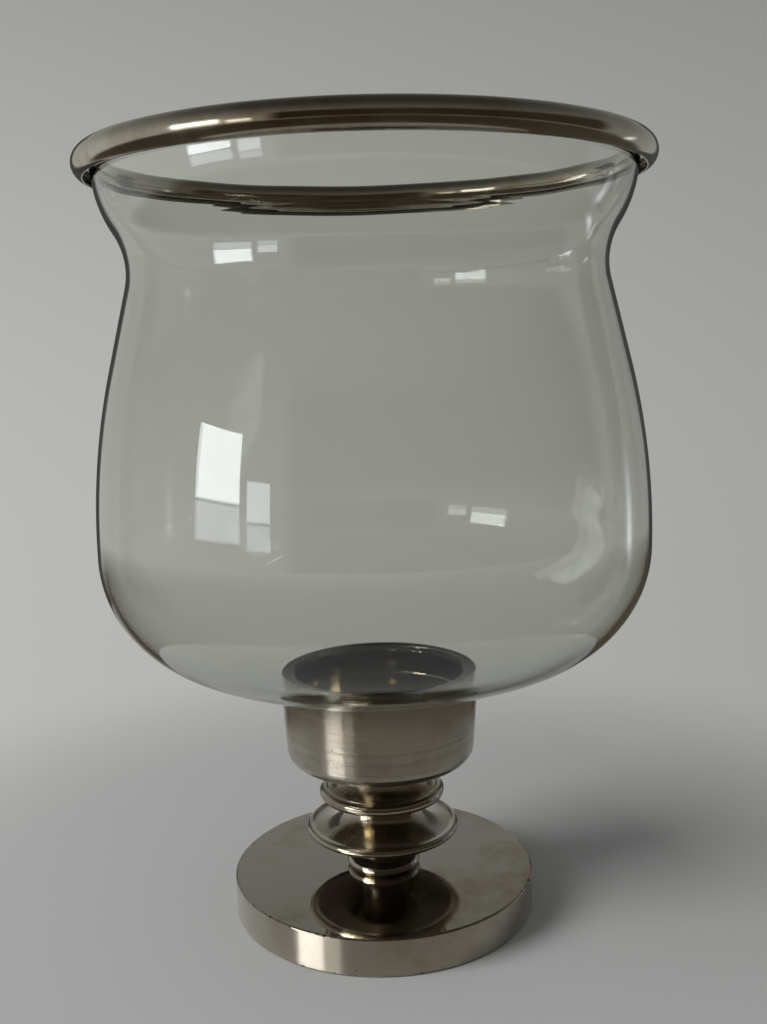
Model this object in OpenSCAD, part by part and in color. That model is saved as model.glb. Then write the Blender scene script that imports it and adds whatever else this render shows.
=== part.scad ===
// Hurricane candle lantern: a turned metal stand with a candle cup, a blown
// glass shade that lifts out of the cup, and a rolled metal ring on its lip.
// Everything is turned about the Z axis. The felt pad's underside is z = 0.

/* [Base] */
// Diameter of the base plate
base_d = 142; // [130:1:160]
// Height of the base plate's rim
base_h = 17; // [15:0.5:22]
// Bevel on the base plate's edges
base_bevel = 0.9; // [0.5:0.1:1.5]
// Diameter of the felt pad
felt_d = 130; // [110:1:134]
// Thickness of the felt pad
felt_t = 1.5; // [1.2:0.1:2]
// How far the felt stands below the metal
felt_proud = 0.5; // [0.3:0.1:0.8]

/* [Stem] */
// Diameter of the foot that stands on the base plate
foot_d = 34.6; // [30:0.2:40]
// Height of the foot
foot_h = 10; // [8:0.5:12]
// Diameter of the sleeve above the foot
sleeve_d = 20.8; // [18:0.2:23]
// Height of the sleeve
sleeve_h = 17.5; // [14:0.5:22]
// Diameter of the saucer over its beaded rim
saucer_d = 72.4; // [66:0.2:80]
// Height from the rim bead's centre to the top of the saucer's hub
saucer_rise = 11.5; // [10:0.5:14]
// Thickness of the saucer's hub
hub_t = 4.5; // [3.5:0.5:6]
// Thickness of the saucer's dished shell
saucer_wall = 2.2; // [1.6:0.2:2.6]
// Height of the waisted spacer above the saucer
spacer_h = 3; // [2:0.5:5]
// Diameter of the collar over its round rim
collar_d = 59.4; // [54:0.2:66]
// Height of the collar
collar_h = 5.4; // [4.4:0.2:7]
// Height of the hollow-sided neck under the cup
neck_h = 13.6; // [11:0.2:17]
// Diameter of the neck where it carries the cup
neck_top_d = 34; // [30:1:40]

/* [Cup] */
// Outside diameter of the cup at its rim
cup_top_d = 92.8; // [88:0.4:98]
// Outside diameter just above the cup's round corner
cup_low_d = 88.4; // [84:0.4:94]
// Height of the cup
cup_h = 39.5; // [36:0.5:46]
// Radius of the cup's bottom corner
cup_corner = 7; // [5:0.5:9]
// Wall thickness of the cup at its rim
cup_wall = 3.7; // [3:0.1:4.2]
// Thickness of the cup's floor
cup_floor = 4.5; // [4:0.5:6]

/* [Glass] */
// Height of the glass neck inside the cup
glass_neck_h = 14; // [8:1:20]
// Play between the glass neck's lower end and the cup
glass_neck_play = 0.7; // [0.5:0.1:1.2]
// Radius of the curve under the bowl
bowl_under_r = 201; // [190:1:212]
// Radius of the bowl's lower corner
bowl_corner_r = 55; // [52:0.5:58]
// Radius of the bowl's side
bowl_side_r = 310; // [300:1:320]
// Wall thickness at the belly
glass_wall = 2.4; // [2.1:0.1:2.8]

/* [Rim ring] */
// Diameter of the rolled tube
ring_tube_d = 12.2; // [11.6:0.1:13]
// Thickness of the tube's sheet
ring_sheet = 1.1; // [0.8:0.1:1.2]

/* [Hidden] */
$fn = 144;
eps = 0.01;

nickel = [0.66, 0.63, 0.58];
steel = [0.55, 0.56, 0.58];
felt = [0.10, 0.11, 0.10];
glass = [0.80, 0.86, 0.84, 0.35];

// Levels of the stack, from the table up
base_low = felt_proud;
base_top = base_low + base_h;
foot_top = base_top + foot_h;
hub_low = foot_top + sleeve_h;
hub_top = hub_low + hub_t;
bead_z = hub_top - saucer_rise;
spacer_top = hub_top + spacer_h;
collar_top = spacer_top + collar_h;
cup_low = collar_top + neck_h;
cup_rim = cup_low + cup_h;

// Tie rod, nut and washer of an M8 thread, with the play of each fit
rod_d = 8;
rod_play = 0.25;
thread_play = 0.05;
nut_flats = 13;
nut_h = 6.5;
washer_d = 24;
washer_t = 2;
recess_d = 27;
recess_top = 11.5;
rod_low = 2;
boss_d = 18;
boss_h = 11;
boss_play = 0.3;
rod_top = cup_low + 0.5;
thread_end = cup_low + 1;

// Rim bead of the saucer
bead_r = 1.8;
saucer_rim_r = saucer_d / 2 - bead_r;
hub_r = 17;

// Cup: the inner radii follow the outer ones, with a slightly thinner wall low down
cup_low_wall = cup_wall - 0.6;
cup_inner_top = cup_top_d / 2 - cup_wall;
cup_inner_low = cup_low_d / 2 - cup_low_wall;
cup_inner_corner = 4;
cup_corner_z = cup_low + cup_floor + cup_inner_corner;

// Inner radius of the cup at height z
function cup_inner_r(z) =
    cup_inner_low
    + (cup_inner_top - cup_inner_low) * (z - cup_corner_z) / (cup_rim - cup_corner_z);

// Glass wall as a path that starts on the cup's rim and runs outwards.
// An arc is [radius, turn, wall at its end], with both negative where the path
// bends outwards. A straight stretch is [0, length, wall at its end].
seat_r = cup_top_d / 2 - 0.4;
seat_slope = 11;
bowl_slope = 25;
side_turn = 14;
waist_turn = -46;
lip_turn = 24;
belly_h = 4;
glass_path = [
    [bowl_under_r, bowl_slope - seat_slope, glass_wall],
    [bowl_corner_r, 90 - bowl_slope, glass_wall],
    [0, belly_h, glass_wall],
    [bowl_side_r, side_turn, glass_wall],
    [0, 37, glass_wall - 0.1],
    [-30, waist_turn, glass_wall - 0.1],
    [50, lip_turn, glass_wall - 0.2],
    [0, 11.5, glass_wall - 0.2]
];
step_angle = 5;

// A point on the glass path is [place, heading, wall]
function place(q) = q[0];
function heading(q) = q[1];
function wall(q) = q[2];
function left_of(a) = [-sin(a), cos(a)];

// Points of one stretch that starts at point q
function stretch(q, s) =
    s[0] == 0
    ? [[place(q) + s[1] * [cos(heading(q)), sin(heading(q))], heading(q), s[2]]]
    : let (
        n = ceil(abs(s[1]) / step_angle),
        centre = place(q) + s[0] * left_of(heading(q))
    )
    [for (i = [1:n]) let (a = heading(q) + s[1] * i / n)
        [centre - s[0] * left_of(a), a, wall(q) + (s[2] - wall(q)) * i / n]];

// All points of the stretches from number k on
function trace(q, k = 0) =
    k == len(glass_path)
    ? [q]
    : let (part = stretch(q, glass_path[k]))
    concat([q], [for (i = [0:1:len(part) - 2]) part[i]], trace(part[len(part) - 1], k + 1));

glass_points = trace([[seat_r, cup_rim], seat_slope, glass_wall]);
glass_outside = [for (q = glass_points) place(q)];
glass_inside = [for (q = glass_points) place(q) + wall(q) * left_of(heading(q))];
glass_last = glass_points[len(glass_points) - 1];
lip_wall = wall(glass_last);
lip_mid = place(glass_last) + lip_wall / 2 * left_of(heading(glass_last));
glass_neck_low = cup_rim - glass_neck_h;
glass_neck_r = cup_inner_r(glass_neck_low) - glass_neck_play;

// Rim ring: the lip's top reaches into the tube and stops under its crown
ring_tube_r = ring_tube_d / 2;
ring_inner_r = ring_tube_r - ring_sheet;
ring_r = lip_mid[0] + 1.5;
ring_gap = 0.4;
ring_z = lip_mid[1] + lip_wall / 2 + ring_gap - sqrt(pow(ring_inner_r, 2) - pow(ring_r - lip_mid[0], 2));
slot_in = -4.6;
slot_out = 1.6;

// A quarter hollow from a low wide point to a high narrow one
function hollow(r0, z0, r1, z1, n = 10) =
    [for (i = [0:n]) let (a = 90 * i / n) [r1 + (r0 - r1) * (1 - sin(a)), z0 + (z1 - z0) * (1 - cos(a))]];

// Points of an arc about a centre
function arc(c, r, a0, a1, n = 8) =
    [for (i = [0:n]) let (a = a0 + (a1 - a0) * i / n) c + r * [cos(a), sin(a)]];

module bore(d, low, high) {
    translate([0, 0, low - eps])
        cylinder(d = d, h = high - low + 2 * eps);
}

// ---- Base ----

module felt_pad() {
    color(felt)
        cylinder(d = felt_d, h = felt_t);
}

module base_plate() {
    r = base_d / 2;
    felt_recess_d = felt_d + 0.6;
    color(nickel)
        difference() {
            rotate_extrude()
                polygon([
                    [0, base_low], [r - base_bevel / 2, base_low], [r, base_low + base_bevel / 2],
                    [r, base_top - base_bevel], [r - base_bevel, base_top], [0, base_top]
                ]);
            bore(felt_recess_d, 0, felt_t - eps);
            bore(recess_d, 0, recess_top - eps);
            bore(rod_d + 2 * rod_play, 0, base_top);
        }
}

module base_washer() {
    low = recess_top - washer_t;
    color(steel)
        difference() {
            translate([0, 0, low])
                cylinder(d = washer_d, h = washer_t);
            bore(rod_d + 2 * rod_play, low, recess_top);
        }
}

module base_nut() {
    high = recess_top - washer_t;
    low = high - nut_h;
    color(steel)
        difference() {
            translate([0, 0, low])
                cylinder(d = nut_flats / cos(30), h = nut_h, $fn = 6);
            bore(rod_d + 2 * thread_play, low, high);
        }
}

module tie_rod() {
    tip = 0.8;
    r = rod_d / 2;
    color(steel)
        rotate_extrude()
            polygon([
                [0, rod_low], [r - tip, rod_low], [r, rod_low + tip],
                [r, rod_top - tip], [r - tip, rod_top], [0, rod_top]
            ]);
}

// ---- Stem ----

module stem_foot() {
    edge_r = 2.6;
    hollow_r = foot_d / 2 - edge_r;
    edge_z = base_top + edge_r;
    color(nickel)
        difference() {
            rotate_extrude()
                polygon(concat(
                    [[0, base_top]],
                    arc([hollow_r, edge_z], edge_r, -90, 90),
                    hollow(hollow_r - 0.4, edge_z + edge_r, sleeve_d / 2 + 0.6, foot_top),
                    [[0, foot_top]]
                ));
            bore(rod_d + 2 * rod_play, base_top, foot_top);
        }
}

module stem_sleeve() {
    color(nickel)
        difference() {
            translate([0, 0, foot_top])
                cylinder(d = sleeve_d, h = sleeve_h);
            bore(rod_d + 2 * rod_play, foot_top, hub_low);
        }
}

module bell_saucer() {
    dish_low = bead_z + bead_r * 0.6;
    top = hollow(saucer_rim_r, dish_low, hub_r, hub_top - 0.6);
    under = hollow(saucer_rim_r - saucer_wall, dish_low - saucer_wall, hub_r - saucer_wall, hub_low);
    color(nickel)
        difference() {
            rotate_extrude()
                union() {
                    polygon(concat(
                        [[0, hub_top], [0, hub_low]],
                        [for (i = [len(under) - 1:-1:0]) under[i]],
                        [[saucer_rim_r, bead_z - bead_r * 0.6]],
                        top,
                        [[hub_r, hub_top]]
                    ));
                    translate([saucer_rim_r, bead_z])
                        circle(r = bead_r, $fn = 48);
                }
            bore(rod_d + 2 * rod_play, hub_low, hub_top);
        }
}

module neck_spacer() {
    r = hub_r - 0.5;
    waist = 0.8;
    color(nickel)
        difference() {
            rotate_extrude()
                polygon([
                    [0, hub_top], [r, hub_top], [r - waist, hub_top + spacer_h * 0.3],
                    [r - waist, hub_top + spacer_h * 0.7], [r, spacer_top], [0, spacer_top]
                ]);
            bore(rod_d + 2 * rod_play, hub_top, spacer_top);
        }
}

module collar_disc() {
    edge_r = collar_h / 2;
    color(nickel)
        difference() {
            rotate_extrude()
                polygon(concat(
                    [[0, spacer_top]],
                    arc([collar_d / 2 - edge_r, spacer_top + edge_r], edge_r, -90, 90, 12),
                    [[0, collar_top]]
                ));
            bore(rod_d + 2 * rod_play, spacer_top, collar_top);
        }
}

module cup_neck() {
    boss_low = cup_low - boss_h;
    color(nickel)
        difference() {
            rotate_extrude()
                polygon(concat(
                    [[0, collar_top]],
                    hollow(collar_d / 2 - collar_h / 2 - 0.6, collar_top, neck_top_d / 2, cup_low - 1),
                    [[neck_top_d / 2, cup_low], [0, cup_low]]
                ));
            bore(rod_d + 2 * rod_play, collar_top, cup_low);
            bore(boss_d + 2 * boss_play, boss_low, cup_low);
        }
}

// ---- Cup ----

module candle_cup() {
    low_r = cup_low_d / 2;
    top_r = cup_top_d / 2;
    edge = 0.8;
    floor_z = cup_low + cup_floor;
    boss_low = cup_low - boss_h + boss_play;
    color(nickel)
        difference() {
            union() {
                rotate_extrude()
                    polygon(concat(
                        [[0, cup_low]],
                        arc([low_r - cup_corner, cup_low + cup_corner], cup_corner, -90, 0),
                        [[top_r, cup_rim - edge], [top_r - edge, cup_rim], [cup_inner_top, cup_rim]],
                        arc([cup_inner_low - cup_inner_corner, cup_corner_z], cup_inner_corner, 0, -90),
                        [[0, floor_z]]
                    ));
                translate([0, 0, boss_low])
                    cylinder(d = boss_d, h = cup_low - boss_low + 1);
            }
            bore(rod_d + 2 * thread_play, boss_low, thread_end - eps);
        }
}

// ---- Glass ----

module glass_shade() {
    fillet = 3;
    neck_inner = glass_neck_r - glass_wall;
    fillet_r = neck_inner + fillet;
    flat_end = glass_inside[0] - fillet * left_of(seat_slope);
    fillet_z = flat_end[1] - (flat_end[0] - fillet_r) * tan(seat_slope);
    lip_round = arc([0, 0], lip_wall / 2, heading(glass_last) - 90, heading(glass_last) + 90);
    color(glass)
        rotate_extrude()
            polygon(concat(
                [[neck_inner, glass_neck_low], [glass_neck_r - 0.4, glass_neck_low], [glass_neck_r, cup_rim]],
                glass_outside,
                [for (i = [1:len(lip_round) - 2]) lip_mid + lip_round[i]],
                [for (i = [len(glass_inside) - 1:-1:0]) glass_inside[i]],
                arc([fillet_r, fillet_z], fillet, 90 + seat_slope, 180)
            ));
}

module rim_ring() {
    color(nickel)
        rotate_extrude()
            translate([ring_r, ring_z])
                difference() {
                    circle(r = ring_tube_r, $fn = 96);
                    circle(r = ring_inner_r, $fn = 96);
                    translate([slot_in, -ring_tube_r - 1])
                        square([slot_out - slot_in, ring_tube_r + 1]);
                }
}

felt_pad();
base_plate();
base_washer();
base_nut();
tie_rod();
stem_foot();
stem_sleeve();
bell_saucer();
neck_spacer();
collar_disc();
cup_neck();
candle_cup();
glass_shade();
rim_ring();
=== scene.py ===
# %% [markdown]
# A hurricane candle lantern: a turned, nickel plated stand with a deep candle
# cup, a blown glass bowl that stands loose in the cup, and a rolled metal ring
# that lies over the glass lip. Every solid of it is round, so this lesson is
# about three things: drawing a good outline, turning it smoothly round the
# axis, and giving metal and glass something worth reflecting.
#
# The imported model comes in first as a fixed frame. Its solids have exact sizes
# but coarse facets, which polished metal would show as stripes, so the pieces
# below are turned again on the same sizes with many more steps.

# %% Load the frame
import math

import bmesh
import bpy
from mathutils import Matrix, Vector, noise


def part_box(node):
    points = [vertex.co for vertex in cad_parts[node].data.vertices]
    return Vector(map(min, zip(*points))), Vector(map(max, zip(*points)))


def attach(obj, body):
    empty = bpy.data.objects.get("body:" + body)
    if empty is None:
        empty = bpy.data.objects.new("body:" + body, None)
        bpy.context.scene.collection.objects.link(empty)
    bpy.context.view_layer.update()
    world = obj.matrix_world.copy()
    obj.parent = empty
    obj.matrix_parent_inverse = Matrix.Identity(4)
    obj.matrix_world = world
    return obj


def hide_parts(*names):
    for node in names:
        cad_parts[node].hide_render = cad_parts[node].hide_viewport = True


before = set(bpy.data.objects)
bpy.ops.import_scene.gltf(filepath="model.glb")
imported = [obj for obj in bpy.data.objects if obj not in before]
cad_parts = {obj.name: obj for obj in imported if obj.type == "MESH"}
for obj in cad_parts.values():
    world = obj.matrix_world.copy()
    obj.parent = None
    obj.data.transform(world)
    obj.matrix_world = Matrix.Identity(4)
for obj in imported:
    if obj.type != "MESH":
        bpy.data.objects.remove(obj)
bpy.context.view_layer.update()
MM = 0.001
print("solids in the frame:", len(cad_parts))

# %% [markdown]
# The camera comes from the photograph. The round edges of the base, the cup and
# the ring show as ellipses, and their widths, heights and tilts fix where the
# camera stood: half a metre away, a little lower than the ring, looking down
# by nine degrees, and held with a slight tilt to one side. The size of the
# picture then gives the lens.

# %% Place the camera
PHOTO_HEIGHT_PX = 1024
FOCUS_PX = 1113.6
SENSOR_MM = 36
CAMERA_PLACE = Vector((0, -0.506, 0.2681))
CAMERA_YAW = math.radians(0.466)
CAMERA_PITCH = math.radians(8.93)
CAMERA_ROLL = math.radians(-1.457)


def add_camera():
    """A camera at the photograph's own place, with no shift and no blur."""
    lens = bpy.data.cameras.new("camera")
    lens.sensor_width = SENSOR_MM
    lens.lens = FOCUS_PX / PHOTO_HEIGHT_PX * SENSOR_MM
    camera = bpy.data.objects.new("camera", lens)
    bpy.context.scene.collection.objects.link(camera)
    camera.matrix_world = (
        Matrix.Translation(CAMERA_PLACE)
        @ Matrix.Rotation(-CAMERA_YAW, 4, "Z")
        @ Matrix.Rotation(math.pi / 2 - CAMERA_PITCH, 4, "X")
        @ Matrix.Rotation(CAMERA_ROLL, 4, "Z")
    )
    bpy.context.scene.camera = camera
    return lens


camera_lens = add_camera()
bpy.context.scene.view_settings.view_transform = "Standard"
print("lens in mm:", round(camera_lens.lens, 2))

# %% [markdown]
# A material is a small network of nodes. Most of the helpers below add one node,
# fill in its sockets and return what comes out of it: a noise, a ramp, a blend
# of two colours or a bump. All patterns read the object's own coordinates, so
# they have a real size and stay on the piece when it moves.

# %% Helpers for materials


class Finish:
    """One material and the short calls that build its nodes."""

    def __init__(self, name):
        self.material = bpy.data.materials.new(name)
        self.material.use_nodes = True
        self.tree = self.material.node_tree
        self.tree.nodes.clear()
        self.output = self.tree.nodes.new("ShaderNodeOutputMaterial")
        self.place = self.add("ShaderNodeTexCoord").outputs["Object"]

    def add(self, kind, settings=None, **sockets):
        """A node. settings are its own properties, and sockets its inputs, by name."""
        node = self.tree.nodes.new(kind)
        for key, value in (settings or {}).items():
            setattr(node, key, value)
        for key, value in sockets.items():
            self.fill(node.inputs[key.replace("_", " ")], value)
        return node

    def fill(self, socket, value):
        """Links an output to the socket, or writes a plain value in it."""
        if isinstance(value, bpy.types.NodeSocket):
            self.tree.links.new(value, socket)
        else:
            socket.default_value = value

    def math(self, operation, first, second=0.0, clamp=False):
        """One step of arithmetic."""
        node = self.add("ShaderNodeMath", {"operation": operation, "use_clamp": clamp})
        self.fill(node.inputs[0], first)
        self.fill(node.inputs[1], second)
        return node.outputs[0]

    def noise(self, scale, detail=2.0, roughness=0.5, place=None):
        """Smooth random values from 0 to 1, with scale blotches to the metre."""
        node = self.add(
            "ShaderNodeTexNoise",
            Vector=place or self.place,
            Scale=scale,
            Detail=detail,
            Roughness=roughness,
        )
        return node.outputs["Fac"]

    def ramp(self, value, start, end, low=0.0, high=1.0):
        """Smoothly takes value from start to end over to low to high."""
        node = self.add("ShaderNodeMapRange", {"interpolation_type": "SMOOTHSTEP"})
        for index, number in enumerate((value, start, end, low, high)):
            self.fill(node.inputs[index], number)
        return node.outputs["Result"]

    def blend(self, factor, first, second, kind="MIX"):
        """A mix of two colours, or with MULTIPLY the second as a stain on the first."""
        node = self.add("ShaderNodeMix", {"data_type": "RGBA", "blend_type": kind})
        self.fill(node.inputs["Factor"], factor)
        self.fill(node.inputs[6], first)
        self.fill(node.inputs[7], second)
        return node.outputs[2]

    def bump(self, height, depth, strength=1.0, under=None):
        """A bump of that depth in metres, on top of the bump under it."""
        node = self.add("ShaderNodeBump", Height=height, Distance=depth, Strength=strength)
        if under:
            self.fill(node.inputs["Normal"], under)
        return node.outputs["Normal"]

    def mixed(self, factor, first, second):
        """A mix of two shaders."""
        node = self.add("ShaderNodeMixShader", Fac=factor)
        self.fill(node.inputs[1], first.outputs[0])
        self.fill(node.inputs[2], second.outputs[0])
        return node

    def surface(self, shader):
        """Hands the shader to the output and returns what the nodes belong to."""
        self.tree.links.new(shader, self.output.inputs["Surface"])
        return self.material


def tone(red, green, blue):
    """A colour with full cover."""
    return (red, green, blue, 1.0)


print("view transform:", bpy.context.scene.view_settings.view_transform)

# %% [markdown]
# Nickel that has stood in a room for years is a warm, rather dark mirror: a thin
# brown film lies on it, which shows most where one looks straight at the metal
# and hardly at all at a grazing view. The Facing value of a Layer Weight node
# blends between those two colours.
#
# On a hand-finished casting the mirror is never perfect. The polishing wheel
# runs round the axis and leaves two kinds of fine lines side by side: bright
# ones that mirror sharply, and duller ones that spread light across the lines.
# So a band of light on the cup keeps its left and right sides and runs from
# foot to rim. Each point here is the one or the other, by a noise of the
# distance to the axis and of the height only, and the shader's anisotropy
# spreads the light across the lines.
#
# On top of that the surface rolls a little where the wheel pressed harder,
# cloudy patches are duller, and small holes of the casting show as dark
# specks. Points that carry an edge value also get nicks. Each of these patterns
# is a noise, and its pair of values says where it begins and where it is full.
#
# The base is polished most, the stem and the cup keep more of the lathe's
# lines, and the ring is rolled sheet with few holes. The saucer's underside
# is painted dark, brown and matt: painted shade under the saucer.

# %% Nickel
NICKEL_FACING = tone(0.29, 0.245, 0.175)
NICKEL_GRAZING = tone(0.70, 0.68, 0.63)
STAIN_BROWN = tone(0.62, 0.50, 0.36)
PIT_BROWN = tone(0.03, 0.022, 0.014)
EDGE = "edge"
ACROSS_LINES = 0.25
LINES_PER_M = 5200
LINE_MIDDLE = 0.625
LINE_SOFTNESS = 0.075
LINE_SPREAD = 0.2
LINE_SHIFT = (-0.08, 0.10)
CLOUDS_PER_M = 26
CLOUDS_IN_LINES = (0.35, 0.70)
CLOUDS_IN_HAZE = (0.42, 0.70)
STAINS_PER_M = 17
STAIN_RANGE = (0.45, 0.72)
STAIN_SHARE = 0.8
CELLS_PER_M = 230
PIT_SIZE = 0.075
NICKS_PER_M = 420
NICK_RANGE = (0.57, 0.65)
MARK_ROUGHNESS = 0.4
MARK_DEPTH = 0.2 * MM
MARK_STRENGTH = 0.6
ROLLS_PER_M = 38
ROLL_DEPTH = 0.6 * MM
RIPPLES_PER_M = 260
RIPPLE_DEPTH = 0.05 * MM
RIPPLE_STRENGTH = 0.12


def round_the_axis(finish):
    """Coordinates that are the same all the way round: distance to the axis, and height."""
    parts = finish.add("ShaderNodeSeparateXYZ", Vector=finish.place)
    squares = [finish.math("MULTIPLY", parts.outputs[axis], parts.outputs[axis]) for axis in "XY"]
    radius = finish.math("SQRT", finish.math("ADD", *squares))
    return finish.add("ShaderNodeCombineXYZ", X=radius, Y=parts.outputs["Z"]).outputs[0]


def dull_lines(finish, clouds, share):
    """1 on the duller lines of the wheel and 0 on the bright ones."""
    lines = finish.noise(LINES_PER_M, detail=1, place=round_the_axis(finish))
    lines = finish.math("ADD", lines, finish.ramp(clouds, *CLOUDS_IN_LINES, *LINE_SHIFT))
    middle = LINE_MIDDLE - share * LINE_SPREAD
    return finish.ramp(lines, middle - LINE_SOFTNESS, middle + LINE_SOFTNESS)


def dark_marks(finish, pits):
    """1 in the holes of the casting, and in the nicks where a point has an edge value."""
    cells = finish.add("ShaderNodeTexVoronoi", Vector=finish.place, Scale=CELLS_PER_M)
    chance = finish.add("ShaderNodeSeparateColor", Color=cells.outputs["Color"])
    picked = finish.math("LESS_THAN", chance.outputs["Red"], pits)
    size = finish.math("MULTIPLY", chance.outputs["Green"], PIT_SIZE)
    inside = finish.math("LESS_THAN", cells.outputs["Distance"], size)
    holes = finish.math("MULTIPLY", picked, inside)
    edge = finish.add("ShaderNodeAttribute", {"attribute_name": EDGE}).outputs["Fac"]
    nicks = finish.ramp(finish.noise(NICKS_PER_M, detail=3, roughness=0.65), *NICK_RANGE)
    return finish.math("MAXIMUM", holes, finish.math("MULTIPLY", edge, nicks))


def tarnished(finish, marks):
    """The metal's colour: two tones by the angle of view, brown stains, dark marks."""
    facing = finish.add("ShaderNodeLayerWeight", Blend=0.5).outputs["Facing"]
    colour = finish.blend(facing, NICKEL_FACING, NICKEL_GRAZING)
    patches = finish.noise(STAINS_PER_M, detail=5, roughness=0.7)
    stains = finish.ramp(patches, *STAIN_RANGE, 0.0, STAIN_SHARE)
    stained = finish.blend(stains, colour, STAIN_BROWN, "MULTIPLY")
    return finish.blend(marks, stained, PIT_BROWN)


def nickel(name, shine=0.04, dull=0.13, share=0.3, haze=0.03, pits=0.2, roll=0.06):
    """Nickel plate. shine and dull are the roughness of its two kinds of lines, share how
    much of it is dull, haze how much rougher its clouds are, pits the share of cells with
    a hole, and roll the strength of the large bumps."""
    finish = Finish(name)
    clouds = finish.noise(CLOUDS_PER_M, detail=4, roughness=0.6)
    marks = dark_marks(finish, pits)
    rough = finish.ramp(dull_lines(finish, clouds, share), 0.0, 1.0, shine, dull)
    rough = finish.math("ADD", rough, finish.ramp(clouds, *CLOUDS_IN_HAZE, 0.0, haze))
    rough = finish.math("ADD", rough, finish.math("MULTIPLY", marks, MARK_ROUGHNESS), clamp=True)
    normal = finish.bump(finish.noise(ROLLS_PER_M, detail=1), ROLL_DEPTH, roll)
    ripples = finish.noise(RIPPLES_PER_M, detail=2)
    normal = finish.bump(ripples, RIPPLE_DEPTH, RIPPLE_STRENGTH, under=normal)
    level = finish.math("SUBTRACT", 1.0, marks)
    normal = finish.bump(level, MARK_DEPTH, MARK_STRENGTH, under=normal)
    tangent = finish.add("ShaderNodeTangent", {"direction_type": "RADIAL", "axis": "Z"})
    shader = finish.add(
        "ShaderNodeBsdfPrincipled",
        Base_Color=tarnished(finish, marks),
        Metallic=1.0,
        Roughness=rough,
        Normal=normal,
        Tangent=tangent.outputs[0],
        Anisotropic=0.9,
        Anisotropic_Rotation=ACROSS_LINES,
    )
    return finish.surface(shader.outputs[0])


nickel_polished = nickel("nickel_cast")
nickel_turned = nickel("nickel_turned", shine=0.12, dull=0.23, share=0.45, haze=0.07)
nickel_rolled = nickel("nickel_rolled", shine=0.08, dull=0.16, share=0.3, pits=0.06, roll=0.08)
print("nickel finishes:", nickel_polished.name, nickel_turned.name, nickel_rolled.name)

# %% Painted shade under the saucer
UNDERSIDE_SHADE_DARK = tone(0.07, 0.052, 0.032)
UNDERSIDE_SHADE_LIGHT = tone(0.16, 0.125, 0.085)
GRAINS_PER_M = 700
GRAIN_RANGE = (0.3, 0.7)
GRAIN_DEPTH = 0.2 * MM


def underside_shade_finish(name):
    """Painted shade for the saucer's underside: dark, brown and matt, with a fine grain."""
    finish = Finish(name)
    grain = finish.noise(GRAINS_PER_M, detail=4, roughness=0.7)
    shader = finish.add(
        "ShaderNodeBsdfPrincipled",
        Base_Color=finish.blend(finish.ramp(grain, *GRAIN_RANGE), UNDERSIDE_SHADE_DARK, UNDERSIDE_SHADE_LIGHT),
        Metallic=0.6,
        Roughness=0.5,
        Normal=finish.bump(grain, GRAIN_DEPTH, strength=0.4),
    )
    return finish.surface(shader.outputs[0])


# This dark matt finish goes on the saucer's downward faces as painted shade.
nickel_underside_shade = underside_shade_finish("nickel_underside_shade")
print("unpolished metal:", nickel_underside_shade.name)

# %% [markdown]
# Clear glass bends light by its real thickness, so it needs no trick for its
# looks: both faces of the wall are modelled. It takes a little light out with
# every millimetre, which the long way along the wall at the outline turns
# into a dark line. One thing needs help. A renderer can't find its way from a
# lamp through two curved faces, and would give the bowl a black shadow, so
# rays that look for a lamp pass straight through with a slight loss.

# %% Glass
GLASS_BENDING = 1.5
GLASS_TINT = tone(0.925, 0.93, 0.915)
GLASS_DEPTH_TINT = tone(0.70, 0.72, 0.68)
GLASS_DENSITY = 100.0
GLASS_SHADOW = tone(0.985, 0.985, 0.98)
DRAWN_PER_M = 24
DRAWN_STRETCH = 0.35
DRAWN_DEPTH = 0.6 * MM
DRAWN_STRENGTH = 0.12
SMEARS_PER_M = 14
SMEAR_RANGE = (0.45, 0.8)
SMEAR_ROUGHNESS = 0.05


def clear_glass(name):
    """Glass with faint drawn waves and smears that is nearly clear to lamps."""
    finish = Finish(name)
    stretch = (1.0, 1.0, DRAWN_STRETCH)
    stretched = finish.add("ShaderNodeMapping", Vector=finish.place, Scale=stretch)
    drawn = finish.noise(DRAWN_PER_M, detail=1, place=stretched.outputs[0])
    smears = finish.noise(SMEARS_PER_M, detail=4, roughness=0.6)
    glass = finish.add(
        "ShaderNodeBsdfPrincipled",
        Base_Color=GLASS_TINT,
        Roughness=finish.ramp(smears, *SMEAR_RANGE, 0.0, SMEAR_ROUGHNESS),
        IOR=GLASS_BENDING,
        Normal=finish.bump(drawn, DRAWN_DEPTH, DRAWN_STRENGTH),
        Transmission_Weight=1.0,
    )
    passing = finish.add("ShaderNodeBsdfTransparent", Color=GLASS_SHADOW)
    path = finish.add("ShaderNodeLightPath")
    wall = finish.mixed(path.outputs["Is Shadow Ray"], glass, passing)
    inside = finish.add("ShaderNodeVolumeAbsorption", Color=GLASS_DEPTH_TINT, Density=GLASS_DENSITY)
    finish.tree.links.new(inside.outputs[0], finish.output.inputs["Volume"])
    return finish.surface(wall.outputs[0])


glass_clear = clear_glass("glass_clear")
print("glass bends light by", GLASS_BENDING)

# %% [markdown]
# Felt is a mat of short wool fibres: quite dark, with no shine but a soft glow
# where the fibre ends stand up at a grazing view. Two noises give it fibres
# and thick and thin places. The hidden washer, nut and rod are zinc plated
# steel, bright but blurred, with short scratches from the spanner.

# %% Felt
FELT_DARK = tone(0.012, 0.013, 0.012)
FELT_LIGHT = tone(0.035, 0.037, 0.034)
FIBRES_PER_M = 1500
FIBRE_DEPTH = 0.4 * MM
FIBRE_RANGE = (0.1, 0.45)
PATCHES_PER_M = 60
PATCH_RANGE = (0.3, 0.7)
FELT_ROUGHNESS = (0.9, 1.0)


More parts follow.
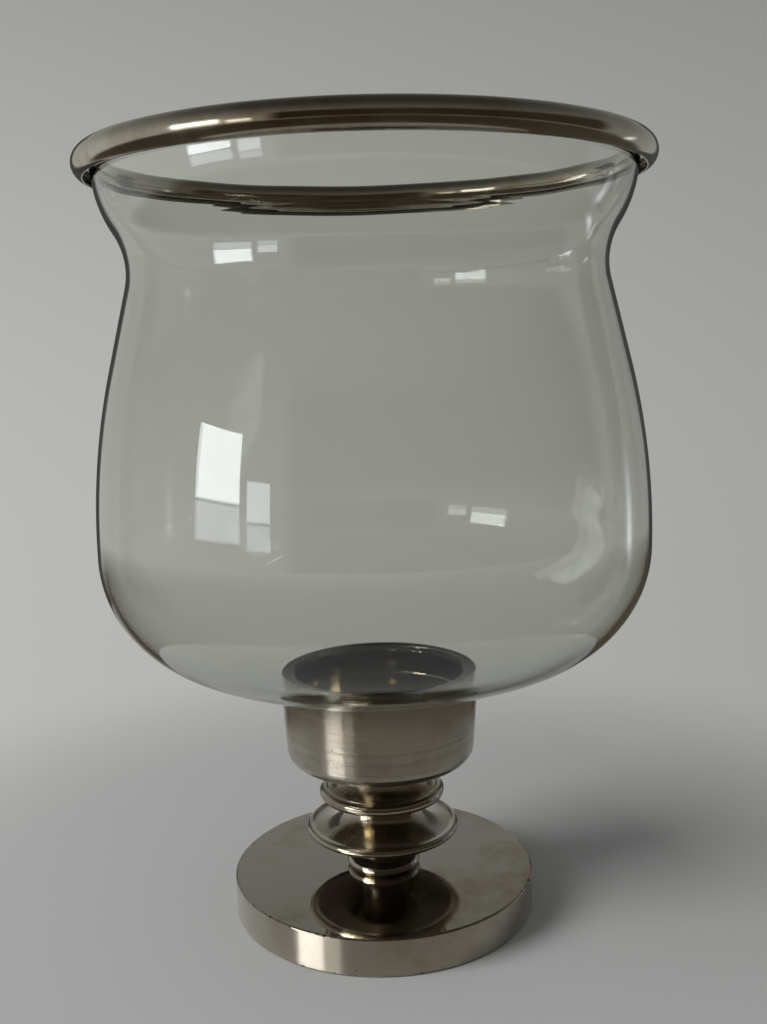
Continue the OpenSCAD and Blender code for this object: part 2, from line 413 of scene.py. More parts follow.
def felt(name):
    """Pressed wool: fibres, and thick and thin places."""
    finish = Finish(name)
    fibres = finish.noise(FIBRES_PER_M, detail=4, roughness=0.75)
    patches = finish.noise(PATCHES_PER_M, detail=3)
    share = finish.math("MULTIPLY", fibres, patches)
    shader = finish.add(
        "ShaderNodeBsdfPrincipled",
        Base_Color=finish.blend(finish.ramp(share, *FIBRE_RANGE), FELT_DARK, FELT_LIGHT),
        Roughness=finish.ramp(patches, *PATCH_RANGE, *FELT_ROUGHNESS),
        Normal=finish.bump(fibres, FIBRE_DEPTH, strength=0.8),
        Sheen_Weight=0.25,
        Sheen_Roughness=0.6,
    )
    return finish.surface(shader.outputs[0])


felt_black = felt("felt_black")
print("felt made:", felt_black.name)

# %% Steel
ZINC_DARK = tone(0.42, 0.43, 0.44)
ZINC_LIGHT = tone(0.62, 0.63, 0.64)
SPANGLES_PER_M = 300
SPANGLE_RANGE = (0.2, 0.8)
ZINC_ROUGHNESS = (0.28, 0.5)
SCRATCHES_PER_M = 900
SCRATCH_STRETCH = 0.12
SCRATCH_DEPTH = 0.05 * MM


def zinc_steel(name):
    """Zinc plate: small crystals, and scratches that run one way."""
    finish = Finish(name)
    spangle = finish.noise(SPANGLES_PER_M, detail=3, roughness=0.6)
    stretch = (1.0, SCRATCH_STRETCH, 1.0)
    stretched = finish.add("ShaderNodeMapping", Vector=finish.place, Scale=stretch)
    scratches = finish.noise(SCRATCHES_PER_M, detail=2, place=stretched.outputs[0])
    shader = finish.add(
        "ShaderNodeBsdfPrincipled",
        Base_Color=finish.blend(spangle, ZINC_DARK, ZINC_LIGHT),
        Metallic=1.0,
        Roughness=finish.ramp(spangle, *SPANGLE_RANGE, *ZINC_ROUGHNESS),
        Normal=finish.bump(scratches, SCRATCH_DEPTH, strength=0.5),
    )
    return finish.surface(shader.outputs[0])


steel_zinc = zinc_steel("steel_zinc")
print("steel made:", steel_zinc.name)

# %% [markdown]
# A turned piece starts as an outline, half of what a saw would show if it cut
# the piece through its axis. The pen below draws it in the plane of X, the
# distance to the axis, and Z, the height. Each stroke extrudes the last
# point, as pressing E on a vertex does in the editor. A straight stroke also
# leaves a holding point close to each of its ends: smooth shading bends the
# surface only between neighbouring points, and so the bend stays in the
# rounded edge and the flat face beside it stays a true mirror.
#
# The lathe then spins the outline once round the axis and closes the seam. A
# piece that is polished in one place only gets its second finish by its faces.

# %% Pen and lathe
HOLD = 0.25 * MM
LATHE_STEPS = 224
MERGE = 0.001 * MM


class Outline:
    """A stroke in the plane y = 0 that a lathe can turn into a piece."""

    def __init__(self, radius, height):
        self.bm = bmesh.new()
        self.edge = self.bm.verts.layers.float.new(EDGE)
        self.tip = self.bm.verts.new((radius, 0, height))

    def dot(self, point, edge=0.0):
        """Extrudes the tip to a new point."""
        self.tip = bmesh.ops.extrude_vert_indiv(self.bm, verts=[self.tip])["verts"][0]
        self.tip.co = point
        self.tip[self.edge] = edge
        return self

    def line(self, radius, height):
        """A straight stroke, with a holding point near both of its ends."""
        start = self.tip.co.copy()
        end = Vector((radius, 0, height))
        reach = (end - start).length
        if reach > 4 * HOLD:
            self.dot(start.lerp(end, HOLD / reach))
            self.dot(end.lerp(start, HOLD / reach))
        return self.dot(end)

    def arc(self, radius, height, turn, steps=8, edge=0.0):
        """A round stroke about a centre. turn is in degrees, towards +Z from +X."""
        centre = Vector((radius, 0, height))
        spoke = self.tip.co - centre
        for step in range(1, steps + 1):
            swing = Matrix.Rotation(-math.radians(turn) * step / steps, 3, "Y")
            self.dot(centre + swing @ spoke, edge)
        return self

    def hollow(self, radius, height, steps=10, rising=True):
        """A quarter hollow to a point. Rising, it leaves flat and arrives steep."""
        start = self.tip.co.copy()
        across, up = radius - start.x, height - start.z
        for step in range(1, steps + 1):
            angle = math.pi / 2 * step / steps
            fast, slow = math.sin(angle), 1 - math.cos(angle)
            if not rising:
                fast, slow = slow, fast
            self.dot(Vector((start.x + across * fast, 0, start.z + up * slow)))
        return self

    def lathe(self, name, finish, steps=LATHE_STEPS):
        """Spins the outline round the axis and returns the closed, smooth piece."""
        bm = self.bm
        bmesh.ops.spin(
            bm,
            geom=bm.verts[:] + bm.edges[:],
            cent=(0, 0, 0),
            axis=(0, 0, 1),
            angle=math.tau,
            steps=steps,
            use_merge=True,
        )
        bmesh.ops.remove_doubles(bm, verts=bm.verts[:], dist=MERGE)
        bmesh.ops.recalc_face_normals(bm, faces=bm.faces[:])
        return finish_piece(bm, name, finish)


def finish_piece(bm, name, finish):
    """Makes a smooth object of the mesh, in one material."""
    mesh = bpy.data.meshes.new(name)
    bm.to_mesh(mesh)
    bm.free()
    mesh.shade_smooth()
    mesh.materials.append(finish)
    piece = bpy.data.objects.new(name, mesh)
    bpy.context.scene.collection.objects.link(piece)
    return piece


def stand_for(piece, node, body):
    """The piece takes the place of a node of the frame, on its body."""
    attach(piece, body)
    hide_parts(node)
    print(piece.name, "faces:", len(piece.data.polygons), "for", node)


def second_finish(piece, finish, belongs):
    """Gives the faces that belong to it another finish."""
    piece.data.materials.append(finish)
    for face in piece.data.polygons:
        face.material_index = 1 if belongs(face) else 0


def levels(node):
    """The outer radius, the lowest and the highest point of a turned node."""
    low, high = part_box(node)
    return high.x, low.z, high.z


print("faces round a piece:", LATHE_STEPS)

# %% [markdown]
# The base is a heavy turned disc with a felt pad let into its underside and a
# well for the nut above it. Its two edges are only just broken, but that is
# enough to catch a bright line, so each gets a small round of its own. The edge
# value that the pen leaves on those points tells the nickel where its nicks go.

# %% Base plate
ROD_HOLE_R = 4.25 * MM
BASE_TOP_EDGE_R = 0.8 * MM
BASE_LOW_EDGE_R = 0.5 * MM
FELT_WELL_R = 65.3 * MM
FELT_WELL_TOP = 1.49 * MM
NUT_WELL_R = 13.5 * MM
NUT_WELL_TOP = 11.49 * MM


def base_plate():
    radius, low, top = levels("base_plate")
    pen = Outline(ROD_HOLE_R, NUT_WELL_TOP)
    pen.line(NUT_WELL_R, NUT_WELL_TOP).line(NUT_WELL_R, FELT_WELL_TOP)
    pen.line(FELT_WELL_R, FELT_WELL_TOP).line(FELT_WELL_R, low)
    pen.line(radius - BASE_LOW_EDGE_R, low)
    pen.arc(radius - BASE_LOW_EDGE_R, low + BASE_LOW_EDGE_R, 90, edge=1)
    pen.line(radius, top - BASE_TOP_EDGE_R)
    pen.arc(radius - BASE_TOP_EDGE_R, top - BASE_TOP_EDGE_R, 90, edge=1)
    pen.line(ROD_HOLE_R, top).line(ROD_HOLE_R, NUT_WELL_TOP)
    return pen.lathe("base_plate_turned", nickel_polished)


stand_for(base_plate(), "base_plate", "stand")

# %% [markdown]
# The felt pad is a die-cut disc. Die-cut felt has a soft, slightly uneven
# edge, and its faces aren't quite flat, so the disc gets rings of faces
# and every point moves a little by a smooth noise. The outline starts smaller
# by the most that a point may move, so the pad stays inside its own space.

# %% Felt pad
FELT_EDGE_R = 0.45 * MM
FELT_RINGS = 24
FELT_UNEVEN = 0.05 * MM
FELT_GRAIN = 400


def felt_pad():
    radius, low, top = levels("felt_pad")
    radius -= FELT_UNEVEN
    low += FELT_UNEVEN
    top -= FELT_UNEVEN
    flat = radius - FELT_EDGE_R
    pen = Outline(0, low)
    for ring in range(1, FELT_RINGS + 1):
        pen.dot(Vector((flat * ring / FELT_RINGS, 0, low)))
    pen.arc(flat, low + FELT_EDGE_R, 90)
    pen.dot(Vector((radius, 0, top - FELT_EDGE_R)))
    pen.arc(flat, top - FELT_EDGE_R, 90)
    for ring in range(FELT_RINGS - 1, -1, -1):
        pen.dot(Vector((flat * ring / FELT_RINGS, 0, top)))
    pad = pen.lathe("felt_pad_cut", felt_black)
    for vert in pad.data.vertices:
        vert.co += noise.noise_vector(vert.co * FELT_GRAIN) * FELT_UNEVEN / 2
    return pad


stand_for(felt_pad(), "felt_pad", "stand")

# %% [markdown]
# The stem is a stack of turned pieces on one hidden rod: a foot with a
# half-round edge that sweeps up into a sleeve, a wide saucer with a beaded rim
# and a hollow underside, a narrow spacer, and a round-edged collar. The
# hollows are quarter sweeps, steep at one end and flat at the other.

# %% Foot and sleeve
FOOT_EDGE_R = 2.6 * MM
FOOT_STEP = 0.4 * MM
FOOT_ROUND_SLEEVE = 0.6 * MM
SLEEVE_EDGE_R = 0.25 * MM


def stem_foot():
    radius, low, top = levels("stem_foot")
    sleeve_r = levels("stem_sleeve")[0]
    shoulder = radius - FOOT_EDGE_R
    ledge = low + 2 * FOOT_EDGE_R
    pen = Outline(ROD_HOLE_R, low)
    pen.line(shoulder, low)
    pen.arc(shoulder, low + FOOT_EDGE_R, 180, steps=18)
    pen.dot(Vector((shoulder - FOOT_STEP, 0, ledge)))
    pen.hollow(sleeve_r + FOOT_ROUND_SLEEVE, top)
    pen.line(ROD_HOLE_R, top).line(ROD_HOLE_R, low)
    return pen.lathe("stem_foot_turned", nickel_turned)


def stem_sleeve():
    radius, low, top = levels("stem_sleeve")
    pen = Outline(ROD_HOLE_R, low)
    pen.line(radius - SLEEVE_EDGE_R, low)
    pen.arc(radius - SLEEVE_EDGE_R, low + SLEEVE_EDGE_R, 90, steps=4)
    pen.line(radius, top - SLEEVE_EDGE_R)
    pen.arc(radius - SLEEVE_EDGE_R, top - SLEEVE_EDGE_R, 90, steps=4)
    pen.line(ROD_HOLE_R, top).line(ROD_HOLE_R, low)
    return pen.lathe("stem_sleeve_turned", nickel_turned)


stand_for(stem_foot(), "stem_foot", "stand")
stand_for(stem_sleeve(), "stem_sleeve", "stand")

# %% Saucer
BEAD_R = 1.8 * MM
HUB_R = 17 * MM
HUB_STEP = 0.6 * MM
HUB_HEIGHT = 4.5 * MM
DISH_WALL = 2.2 * MM
DISH_IN_BEAD = 0.6
HUB_EDGE_R = 0.3 * MM
FACES_DOWN = -0.05


def bell_saucer():
    radius, low, top = levels("bell_saucer")
    rim_r = radius - BEAD_R
    bead_z = low + BEAD_R
    hub_low = top - HUB_HEIGHT
    dish_low = bead_z + DISH_IN_BEAD * BEAD_R
    entry = math.asin(DISH_IN_BEAD)
    tuck = BEAD_R * math.cos(entry)
    inner_r = rim_r - DISH_WALL
    pen = Outline(ROD_HOLE_R, hub_low)
    pen.line(HUB_R - DISH_WALL, hub_low)
    pen.hollow(inner_r, dish_low - DISH_WALL, rising=False)
    pen.dot(Vector((rim_r - tuck, 0, bead_z - DISH_IN_BEAD * BEAD_R)))
    round_way = 360 - 2 * math.degrees(entry)
    pen.arc(rim_r, bead_z, round_way, steps=28)
    pen.hollow(HUB_R, top - HUB_STEP, steps=16)
    pen.line(HUB_R, top - HUB_EDGE_R)
    pen.arc(HUB_R - HUB_EDGE_R, top - HUB_EDGE_R, 90, steps=4)
    pen.line(ROD_HOLE_R, top).line(ROD_HOLE_R, hub_low)
    saucer = pen.lathe("bell_saucer_turned", nickel_turned)

    def underside(face):
        return face.normal.z < FACES_DOWN and face.center.xy.length < inner_r

    # Painted shade: the downward faces under the saucer get the dark matt finish.
    second_finish(saucer, nickel_underside_shade, underside)
    return saucer


stand_for(bell_saucer(), "bell_saucer", "stand")

# %% Spacer, collar and neck
SPACER_WAIST = 0.8 * MM
COLLAR_EDGE_STEPS = 22
NECK_LIP = 1 * MM
BOSS_HOLE_R = 9.3 * MM
BOSS_HOLE_DEPTH = 11 * MM


def neck_spacer():
    radius, low, top = levels("neck_spacer")
    middle = (low + top) / 2
    rise = top - middle
    sweep = (rise**2 + SPACER_WAIST**2) / (2 * SPACER_WAIST)
    half = math.degrees(math.asin(rise / sweep))
    pen = Outline(ROD_HOLE_R, low)
    pen.line(radius, low)
    pen.arc(radius - SPACER_WAIST + sweep, middle, -2 * half, steps=10)
    pen.line(ROD_HOLE_R, top).line(ROD_HOLE_R, low)
    return pen.lathe("neck_spacer_turned", nickel_turned)


def collar_disc():
    radius, low, top = levels("collar_disc")
    edge_r = (top - low) / 2
    pen = Outline(ROD_HOLE_R, low)
    pen.line(radius - edge_r, low)
    pen.arc(radius - edge_r, low + edge_r, 180, steps=COLLAR_EDGE_STEPS)
    pen.line(ROD_HOLE_R, top).line(ROD_HOLE_R, low)
    return pen.lathe("collar_disc_turned", nickel_turned)


def cup_neck():
    radius, low, top = levels("cup_neck")
    pen = Outline(ROD_HOLE_R, low)
    pen.line(radius, low)
    pen.hollow(HUB_R, top - NECK_LIP, steps=16)
    pen.line(HUB_R, top).line(BOSS_HOLE_R, top)
    pen.line(BOSS_HOLE_R, top - BOSS_HOLE_DEPTH).line(ROD_HOLE_R, top - BOSS_HOLE_DEPTH)
    pen.line(ROD_HOLE_R, low)
    return pen.lathe("cup_neck_turned", nickel_turned)


stand_for(neck_spacer(), "neck_spacer", "stand")
stand_for(collar_disc(), "collar_disc", "stand")
stand_for(cup_neck(), "cup_neck", "stand")

# %% [markdown]
# The cup is a deep, thick-walled bowl that widens a little to its rim. A
# round corner joins its side to its flat underside, and a threaded boss below
# it takes the end of the rod. The inside is seen through the glass, so it
# gets the same care as the outside: a round inner corner, a flat floor and
# the brighter polish of the base.

# %% Candle cup
CUP_LOW_R = 44.2 * MM
CUP_CORNER_R = 7 * MM
CUP_WALL = 3.7 * MM
CUP_LOW_WALL = 3.1 * MM
CUP_INNER_CORNER_R = 4 * MM
CUP_FLOOR = 4.5 * MM
CUP_UNDER = 71.5 * MM
CUP_RIM_OUT_R = 0.7 * MM
CUP_RIM_IN_R = 0.4 * MM
BOSS_R = 9 * MM
THREAD_R = 4.05 * MM
THREAD_TOP = 72.49 * MM


def candle_cup():
    rim_r, boss_low, rim = levels("candle_cup")
    under = CUP_UNDER
    floor = CUP_UNDER + CUP_FLOOR
    inner_rim_r = rim_r - CUP_WALL
    inner_low_r = CUP_LOW_R - CUP_LOW_WALL
    pen = Outline(0, THREAD_TOP)
    pen.line(THREAD_R, THREAD_TOP).line(THREAD_R, boss_low)
    pen.line(BOSS_R, boss_low).line(BOSS_R, under)
    pen.line(CUP_LOW_R - CUP_CORNER_R, under)
    pen.arc(CUP_LOW_R - CUP_CORNER_R, under + CUP_CORNER_R, 90, steps=16)
    pen.line(rim_r, rim - CUP_RIM_OUT_R)
    pen.arc(rim_r - CUP_RIM_OUT_R, rim - CUP_RIM_OUT_R, 90, steps=6, edge=1)
    pen.line(inner_rim_r + CUP_RIM_IN_R, rim)
    pen.arc(inner_rim_r + CUP_RIM_IN_R, rim - CUP_RIM_IN_R, 90, steps=4)
    pen.line(inner_low_r, floor + CUP_INNER_CORNER_R)
    pen.arc(inner_low_r - CUP_INNER_CORNER_R, floor + CUP_INNER_CORNER_R, -90, steps=10)
    pen.line(0, floor)
    cup = pen.lathe("candle_cup_turned", nickel_turned)

    def inside(face):
        return face.center.z > floor - MM and face.center.xy.length < inner_rim_r

    second_finish(cup, nickel_polished, inside)
    return cup


stand_for(candle_cup(), "candle_cup", "stand")

# %% [markdown]
# The glass is one long path from the cup's rim to the lip: a shallow curve
# under the bowl, a tighter corner, a barrel side, a neck that bends the other
# way and a flared lip. Each stretch is an arc that starts in the direction in
# which the last one ended, so the path has no kinks. The wall is thin and
# gets thinner still on its way up, where the melt was drawn out most.
#
# A stretch is given as a glassblower's template would be: its name, its radius
# in mm or 0 where it is straight, how far it turns in degrees or how long it is
# in mm, and the wall at its end in mm.
#
# A blown wall is also never quite even, and that shows in torn highlights and in
# the waves of what is seen through it. So after the lathe each point moves
# by a few hundredths of a millimetre along a smooth noise that is stretched
# upwards, the way the bowl was drawn.

# %% Glass path
GLASS_NECK_R = 41.28 * MM
GLASS_NECK_EASE = 0.4 * MM
GLASS_SEAT_R = 46 * MM
GLASS_SEAT_Z = levels("candle_cup")[2]
GLASS_WALL = 2.4 * MM
GLASS_FILLET_R = 3 * MM
SEAT_SLOPE = math.radians(11)
BOWL_STRETCHES = (
    ("under the bowl", 201, 14, 2.4),
    ("lower corner", 55, 65, 2.4),
    ("belly", 0, 4, 2.4),
    ("barrel side", 310, 14, 2.4),
    ("shoulder", 0, 37, 2.3),
    ("neck", -30, -46, 2.3),
    ("flare", 50, 24, 2.2),
    ("lip", 0, 11.5, 2.2),
)
POINT_GAP = 1.9 * MM


def bowl_path():
    """The points of the outer face, each with the wall's direction and thickness."""
    path = [(Vector((GLASS_SEAT_R, 0, GLASS_SEAT_Z)), SEAT_SLOPE, GLASS_WALL)]
    for title, radius_mm, extent, wall_mm in BOWL_STRETCHES:
        start, first_heading, first_wall = path[-1]
        radius = radius_mm * MM
        straight = radius == 0
        swing = 0 if straight else math.radians(extent)
        length = extent * MM if straight else abs(radius * swing)
        thinning = wall_mm * MM - first_wall
        centre = start + left_of(first_heading) * radius
        steps = max(2, round(length / POINT_GAP))
        for step in range(1, steps + 1):
            share = step / steps
            heading = first_heading + swing * share
            if straight:
                place = start + along(heading) * length * share
            else:
                place = centre - left_of(heading) * radius
            path.append((place, heading, first_wall + thinning * share))
        print(title, "ends at mm", round(place.x / MM, 1), round(place.z / MM, 1))
    return path


def along(heading):
    return Vector((math.cos(heading), 0, math.sin(heading)))


def left_of(heading):
    return Vector((-math.sin(heading), 0, math.cos(heading)))


bowl = bowl_path()

# %% Glass shade
WAVE_DEPTH = 0.06 * MM
WAVE_SCALE = Vector((38, 38, 15))
WAVE_SHIFT_IN = Vector((7.3, 1.9, 4.1))
WAVE_START = 4 * MM
WAVE_EASE = 8 * MM
GLASS_STEPS = 240


def glass_shade():
    low = levels("glass_shade")[1]
    last_place, last_heading, lip_wall = bowl[-1]
    lip_centre = last_place + left_of(last_heading) * lip_wall / 2
    neck_inner_r = GLASS_NECK_R - GLASS_WALL
    fillet_r = neck_inner_r + GLASS_FILLET_R
    flat_end = bowl[0][0] + left_of(SEAT_SLOPE) * (GLASS_WALL - GLASS_FILLET_R)
    fillet_z = flat_end.z - (flat_end.x - fillet_r) * math.tan(SEAT_SLOPE)
    pen = Outline(neck_inner_r, fillet_z)
    pen.line(neck_inner_r, low + GLASS_NECK_EASE)
    pen.arc(neck_inner_r + GLASS_WALL / 2, low + GLASS_NECK_EASE, 180, steps=12)
    pen.line(GLASS_NECK_R, GLASS_SEAT_Z)
    for place, _heading, _wall in bowl:
        pen.dot(place)
    pen.arc(lip_centre.x, lip_centre.z, 180, steps=12)
    for place, heading, wall in reversed(bowl):
        pen.dot(place + left_of(heading) * wall)
    pen.dot(Vector((fillet_r, 0, fillet_z)) + left_of(SEAT_SLOPE) * GLASS_FILLET_R)
    pen.arc(fillet_r, fillet_z, 90 - math.degrees(SEAT_SLOPE), steps=8)
    return pen.lathe("glass_shade_blown", glass_clear, steps=GLASS_STEPS)


def blow(piece):
    """Moves the points into the wall by a smooth wave that each side has for itself."""
    mesh = piece.data
    places = [vert.co.copy() for vert in mesh.vertices]
    normals = [vert.normal.copy() for vert in mesh.vertices]
    for vert, place, normal in zip(mesh.vertices, places, normals):
        rise = (place.z - GLASS_SEAT_Z - WAVE_START) / WAVE_EASE
        fade = min(1.0, max(0.0, rise))
        spot = Vector(a * b for a, b in zip(place, WAVE_SCALE))
        if normal.x * place.x + normal.y * place.y < 0:
            spot += WAVE_SHIFT_IN
        vert.co = place + normal * (noise.noise(spot) - 1.0) * WAVE_DEPTH * fade
    return piece


stand_for(blow(glass_shade()), "glass_shade", "shade")

# %% [markdown]
# The ring is a tube of sheet metal, rolled to a circle and open along a slot
# underneath, where the glass lip goes in. Its outline is a letter C: round
# the outside, a small turn at the slot's edge, and back along the inside.

# %% Rim ring
RING_TUBE_R = 6.1 * MM
RING_SHEET = 1.1 * MM
SLOT_IN = -4.6 * MM
SLOT_OUT = 1.6 * MM
RING_STEPS = 288


def rim_ring():
    radius, low, top = levels("rim_ring")
    ring_r = radius - RING_TUBE_R
    ring_z = top - RING_TUBE_R
    inner_r = RING_TUBE_R - RING_SHEET

    def slot_angle(offset, tube_r):
        """Where the slot's edge meets a circle, in degrees down from +X."""
        return math.degrees(math.acos(offset / tube_r))

    def slot_point(offset, tube_r):
        """The slot's edge on a circle."""
        return ring_r + offset, ring_z - math.sqrt(tube_r**2 - offset**2)

    def way_round(tube_r):
        """From the slot's outer edge over the top to its inner edge, in degrees."""
        return 360 + slot_angle(SLOT_OUT, tube_r) - slot_angle(SLOT_IN, tube_r)

    pen = Outline(*slot_point(SLOT_OUT, RING_TUBE_R))
    pen.arc(ring_r, ring_z, way_round(RING_TUBE_R), steps=56)
    pen.line(*slot_point(SLOT_IN, inner_r))
    pen.arc(ring_r, ring_z, -way_round(inner_r), steps=40)
    pen.line(*slot_point(SLOT_OUT, RING_TUBE_R))
    return pen.lathe("rim_ring_rolled", nickel_rolled, steps=RING_STEPS)


stand_for(rim_ring(), "rim_ring", "ring")

# %% [markdown]
# The washer, the nut and the rod are inside the base and the stem, where no
# camera reaches, so they stay as the frame has them and only get their steel.

# %% Hidden hardware
for node in ("base_washer", "base_nut", "tie_rod"):
    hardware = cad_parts[node]
    hardware.data.materials.clear()
    hardware.data.materials.append(steel_zinc)
    print(node, "is steel")

# %% [markdown]
# Polished metal looks like what stands round it, so the studio matters as
# much as the finish. The floor is a pale disc that fades out into the backdrop
# a little way behind the lantern, which leaves no horizon to show through the
# glass. Seen directly it is matt. Seen by way of a mirror it is satin, as
# painted board is, and so the metal shows the glare of the sky on it.

# %% Floor
FLOOR_TONE = tone(0.36, 0.365, 0.36)
FLOOR_SATIN = 0.19
FLOOR_R = 0.6
FLOOR_FADE_START = 0.19
FLOOR_FADE_END = 0.42


def behind_mirrors(finish, mirrors=1):
    """1 for a ray that has met so many mirrors or more, else 0."""
    path = finish.add("ShaderNodeLightPath")
    return finish.math("GREATER_THAN", path.outputs["Glossy Depth"], mirrors - 0.5)


def floor_finish():
    finish = Finish("floor_pale")
    from_middle = finish.add("ShaderNodeVectorMath", {"operation": "LENGTH"})
    finish.fill(from_middle.inputs[0], finish.place)
    fade = finish.ramp(from_middle.outputs["Value"], FLOOR_FADE_START, FLOOR_FADE_END)
    matt = finish.add("ShaderNodeBsdfDiffuse", Color=FLOOR_TONE)
    satin = finish.add("ShaderNodeBsdfPrincipled", Base_Color=FLOOR_TONE, Roughness=FLOOR_SATIN)
    board = finish.mixed(behind_mirrors(finish), matt, satin)
    clear = finish.add("ShaderNodeBsdfTransparent")
    return finish.surface(finish.mixed(fade, board, clear).outputs[0])


def floor():
    bm = bmesh.new()
    bmesh.ops.create_circle(bm, cap_ends=True, segments=96, radius=FLOOR_R)
    return finish_piece(bm, "floor", floor_finish())


floor()
print("floor radius in m:", FLOOR_R)

# %% [markdown]
# Metal and glass are lit by what they mirror, so the studio has cards that only
# mirrors see. The ray's Glossy Depth tells: it counts the mirrors on the way,
# so a card is clear where that count is nought. Each card is a strip spun part
# of the way round the lantern:
# - a dark cloth behind the camera, which gives the metal its dark side
# - a dark apron on the floor, like the ground beyond a small table
# - two dark flags just outside the picture, which draw the glass's edges
# - a lit doorway to the right, for the upright streak in the glass
# - the casements of a window to the left, each with a bar across
# - the sky above them, seen by way of two mirrors only: the metal, and before
#   it the satin floor. It makes the bright upright band in the cup and base.

# %% Card finish
WINDOW_TONE = tone(0.95, 0.98, 1.0)


def card_finish(name, colour, glow, mirrors, middle_degrees, half_degrees, fade_degrees, fade_far):
    """A glow that is only seen by way of so many mirrors. It fades out over some degrees
    at both ends of the card, and from the share fade_far of the card's width on."""
    finish = Finish(name)
    share = behind_mirrors(finish, mirrors)
    if fade_degrees:
        turn_back = (0, 0, -math.radians(middle_degrees))
        turned = finish.add("ShaderNodeMapping", Vector=finish.place, Rotation=turn_back)
        round_way = finish.add("ShaderNodeTexGradient", {"gradient_type": "RADIAL"})
        finish.fill(round_way.inputs["Vector"], turned.outputs[0])
        off_middle = finish.math("SUBTRACT", round_way.outputs["Fac"], 0.5)
        degrees = finish.math("MULTIPLY", finish.math("ABSOLUTE", off_middle), 360.0)
        ends = finish.ramp(degrees, half_degrees - fade_degrees, half_degrees, 1.0, 0.0)
        share = finish.math("MULTIPLY", share, ends)
    if fade_far < 1:
        across = finish.add("ShaderNodeAttribute", {"attribute_name": EDGE}).outputs["Fac"]
        share = finish.math("MULTIPLY", share, finish.ramp(across, fade_far, 1.0, 1.0, 0.0))
    clear = finish.add("ShaderNodeBsdfTransparent")
    glowing = finish.add("ShaderNodeEmission", Color=colour, Strength=glow)
    finish.surface(finish.mixed(share, clear, glowing).outputs[0])
    finish.material.cycles.emission_sampling = "NONE"
    return finish.material


print("cards are seen by mirrors only")

# %% Card
CARD_R = 1.2
CARD_STEP_DEGREES = 3


def card(name, start, turn, near, far, colour, glow=1.0, mirrors=1, fade_degrees=0, fade_far=1):
    """A strip between two edges, each a (radius, height), spun from start by turn degrees.
    0 degrees is towards the camera and 90 to its right."""
    from_x = start - 90
    pen = Outline(*near)
    pen.dot(Vector((far[0], 0, far[1])), edge=1)
    bm = pen.bm
    swing = Matrix.Rotation(math.radians(from_x), 3, "Z")
    bmesh.ops.rotate(bm, verts=bm.verts[:], cent=(0, 0, 0), matrix=swing)
    bmesh.ops.spin(
        bm,
        geom=bm.verts[:] + bm.edges[:],
        cent=(0, 0, 0),
        axis=(0, 0, 1),
        angle=math.radians(turn),
        steps=math.ceil(turn / CARD_STEP_DEGREES),
    )
    half = turn / 2
    look = card_finish(name, colour, glow, mirrors, from_x + half, half, fade_degrees, fade_far)
    strip = finish_piece(bm, name, look)
    strip.visible_shadow = False
    strip.visible_diffuse = False


def wall_card(name, start, turn, low, high, reach=CARD_R, **look):
    """An upright card from one height to another."""
    card(name, start, turn, near=(reach, low), far=(reach, high), **look)


print("cards stand at m:", CARD_R)

# %% Dark cards
CLOTH_TONE = tone(0.055, 0.044, 0.030)
APRON_TONE = tone(0.075, 0.062, 0.046)
FLAG_TONE = tone(0.06, 0.06, 0.055)
TABLE_R = 0.247
APRON_LIFT = 1 * MM
CLOTH = {"start": -36, "turn": 136, "low": 0.0, "high": 0.85}
APRON = {"start": -150, "turn": 310}
FLAG = {"turn": 22, "low": -0.2, "high": 0.8}
FLAG_STARTS = {"left": -163, "right": 141}

wall_card("dark_cloth", **CLOTH, colour=CLOTH_TONE, fade_degrees=9, fade_far=0.75)
edges = {"near": (TABLE_R, APRON_LIFT), "far": (CARD_R, APRON_LIFT)}
card("dark_apron", **APRON, **edges, colour=APRON_TONE, fade_degrees=20, fade_far=0.6)
for side, start in FLAG_STARTS.items():
    wall_card(f"dark_flag_{side}", start, **FLAG, colour=FLAG_TONE, fade_degrees=4)
print("dark cards:", 2 + len(FLAG_STARTS))

# %% Bright cards
WINDOW_R = 1.15
BAR = 0.01
DOOR = {"start": 112, "turn": 7, "low": -0.2, "high": 0.3, "glow": 2.2}
CASEMENTS = (
    {"start": -69, "turn": 19, "low": 0.10, "bar": 0.235, "high": 0.48, "glow": (3.0, 8.0)},
    {"start": -47, "turn": 9, "low": 0.08, "bar": 0.18, "high": 0.32, "glow": (2.4, 4.0)},
)
SKY_LOW = 0.25
SKY_HIGH = 0.9
SKIES = ({"start": -67, "turn": 21, "glow": 29.0}, {"start": -44, "turn": 11, "glow": 8.0})

lit = {"colour": WINDOW_TONE, "reach": WINDOW_R}
wall_card("doorway", **DOOR, **lit, fade_degrees=3, fade_far=0.2)
for number, window in enumerate(CASEMENTS):
    sides = {"start": window["start"], "turn": window["turn"]}
    panes = {
        "low": (window["low"], window["bar"] - BAR),
        "high": (window["bar"], window["high"]),
    }
    for (pane, (low, high)), glow in zip(panes.items(), window["glow"]):
        wall_card(f"casement_{number}_{pane}", **sides, low=low, high=high, glow=glow, **lit)
for number, sky in enumerate(SKIES):
    wall_card(f"sky_{number}", **sky, low=SKY_LOW, high=SKY_HIGH, mirrors=2, **lit)
print("window panes:", 2 * len(CASEMENTS), "skies:", len(SKIES))

# %% [markdown]
# One large soft box to the left of the camera lights the floor and casts the
# shadow. It stands as a window does, so the thick base has a clear shadow
# beside it, and it stays out of all mirrors, where the cards do its work.
# Its height decides how long that shadow is.

# %% Soft box
KEY_DEGREES = -68
KEY_REACH = 2.4
KEY_HEIGHT = 1.5
KEY_SIDE = 1.5
KEY_GLOW = 14.0
KEY_AIM = Vector((0, 0, 0.05))


def compass(degrees, reach):
    """A place on the floor, with degrees as for the cards."""
    angle = math.radians(degrees)
    return Vector((math.sin(angle) * reach, -math.cos(angle) * reach, 0))


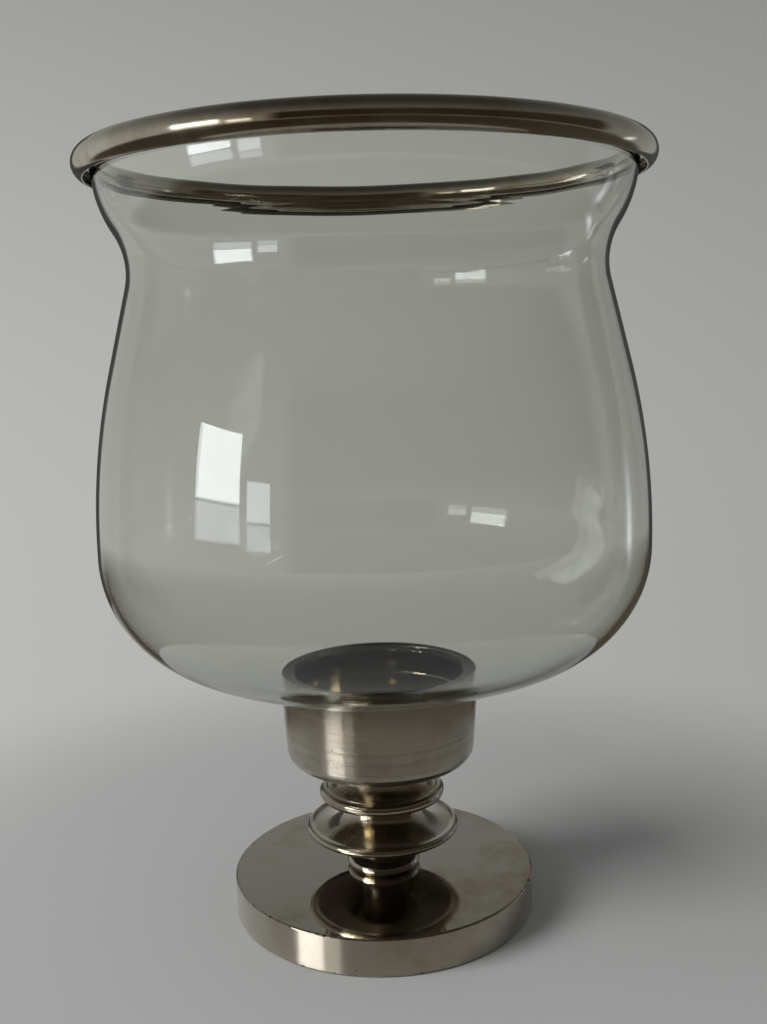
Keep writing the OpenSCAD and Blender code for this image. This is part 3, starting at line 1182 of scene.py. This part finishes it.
def key_box():
    """A square area lamp. Its glow is how bright its face would look, and 1 is white."""
    lamp = bpy.data.lights.new("soft_box_key", "AREA")
    lamp.size = KEY_SIDE
    lamp.energy = KEY_GLOW * math.pi * KEY_SIDE**2
    box = bpy.data.objects.new("soft_box_key", lamp)
    bpy.context.scene.collection.objects.link(box)
    box.location = compass(KEY_DEGREES, KEY_REACH) + Vector((0, 0, KEY_HEIGHT))
    box.rotation_euler = (KEY_AIM - box.location).to_track_quat("-Z", "Y").to_euler()
    box.visible_camera = False
    box.visible_transmission = False
    box.visible_glossy = False


key_box()
print("lamps:", len(bpy.data.lights))

# %% [markdown]
# The world has two jobs. It lights the scene evenly, like a room with pale
# walls, and it is the backdrop that the camera, the metal and the glass see.
# In a world, the Object coordinates are the direction in which the ray goes.
# As on a wall beside a window, the backdrop is brighter low down and to the
# left, and towards the ceiling it gets dark.

# %% World
AMBIENT = tone(0.37, 0.37, 0.365)
BACKDROP = tone(0.36, 0.365, 0.343)
BACKDROP_LOW = 1.2
BACKDROP_TOP = 0.12
RISE_OF_LOW = -0.2
RISE_OF_TOP = 1.1
BACKDROP_SIDE = -0.4


class World(Finish):
    """The helpers for materials, on the node tree of the world."""

    def __init__(self, name):
        self.material = bpy.data.worlds.new(name)
        self.material.use_nodes = True
        self.tree = self.material.node_tree
        self.tree.nodes.clear()
        self.output = self.tree.nodes.new("ShaderNodeOutputWorld")
        self.place = self.add("ShaderNodeTexCoord").outputs["Object"]


def world_light():
    world = World("studio")
    way = world.add("ShaderNodeSeparateXYZ", Vector=world.place)
    rise = way.outputs["Z"]
    upward = world.ramp(rise, RISE_OF_LOW, RISE_OF_TOP, BACKDROP_LOW, BACKDROP_TOP)
    sideways = world.math("ADD", world.math("MULTIPLY", way.outputs["X"], BACKDROP_SIDE), 1.0)
    shade = world.math("MULTIPLY", upward, sideways)
    backdrop = world.add("ShaderNodeBackground", Color=BACKDROP, Strength=shade)
    ambient = world.add("ShaderNodeBackground", Color=AMBIENT)
    path = world.add("ShaderNodeLightPath")
    seen = path.outputs["Is Camera Ray"]
    for ray in ("Is Glossy Ray", "Is Transmission Ray"):
        seen = world.math("MAXIMUM", seen, path.outputs[ray])
    bpy.context.scene.world = world.surface(world.mixed(seen, ambient, backdrop).outputs[0])


world_light()
print("backdrop:", [round(part, 2) for part in BACKDROP])
